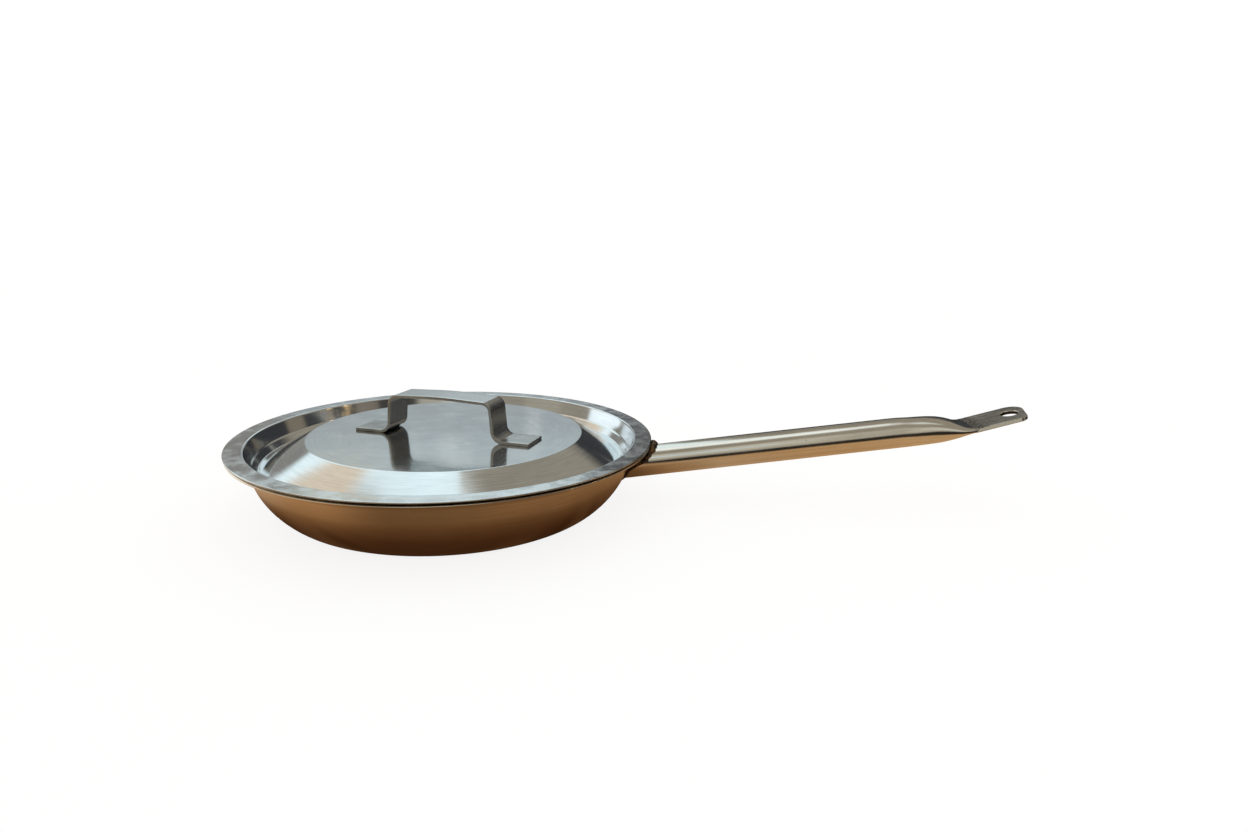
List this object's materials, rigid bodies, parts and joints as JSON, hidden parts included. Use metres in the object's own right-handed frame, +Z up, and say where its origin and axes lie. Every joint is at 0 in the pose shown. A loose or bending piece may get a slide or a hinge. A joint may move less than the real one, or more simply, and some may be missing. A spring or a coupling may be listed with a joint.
{
  "type": "lidded pan",
  "caption": "Shallow round stainless pan with flared rim, long tubular welded handle with a flattened hanging tongue, and a recessed metal lid with a strap handle.",
  "frame": {"origin": "centre of the flat underside of the pan's base", "axes": "+Z up out of the base, +X along the handle from the pan towards its hanging hole, +Y to the left seen from above with the handle pointing away"},
  "size_m": [0.5076, 0.262, 0.072],
  "materials": {
    "pan_steel": "satin",
    "handle_steel": "satin",
    "lid_steel": "bright satin",
    "strap_steel": "satin",
    "weld_metal": "rough, heat-tinted"
  },
  "bodies": {
    "pan": {"pan_shell": "pan_steel", "handle_tube": "handle_steel", "handle_weld": "weld_metal"},
    "lid": {"lid_shell": "lid_steel", "lid_handle": "strap_steel", "lid_spot_welds": "weld_metal"}
  },
  "joints": [
    {"name": "lid_lift", "type": "slide", "parent": "pan", "child": "lid", "axis": [0, 0, 1], "range_m": [0, 0.12]}
  ]
}
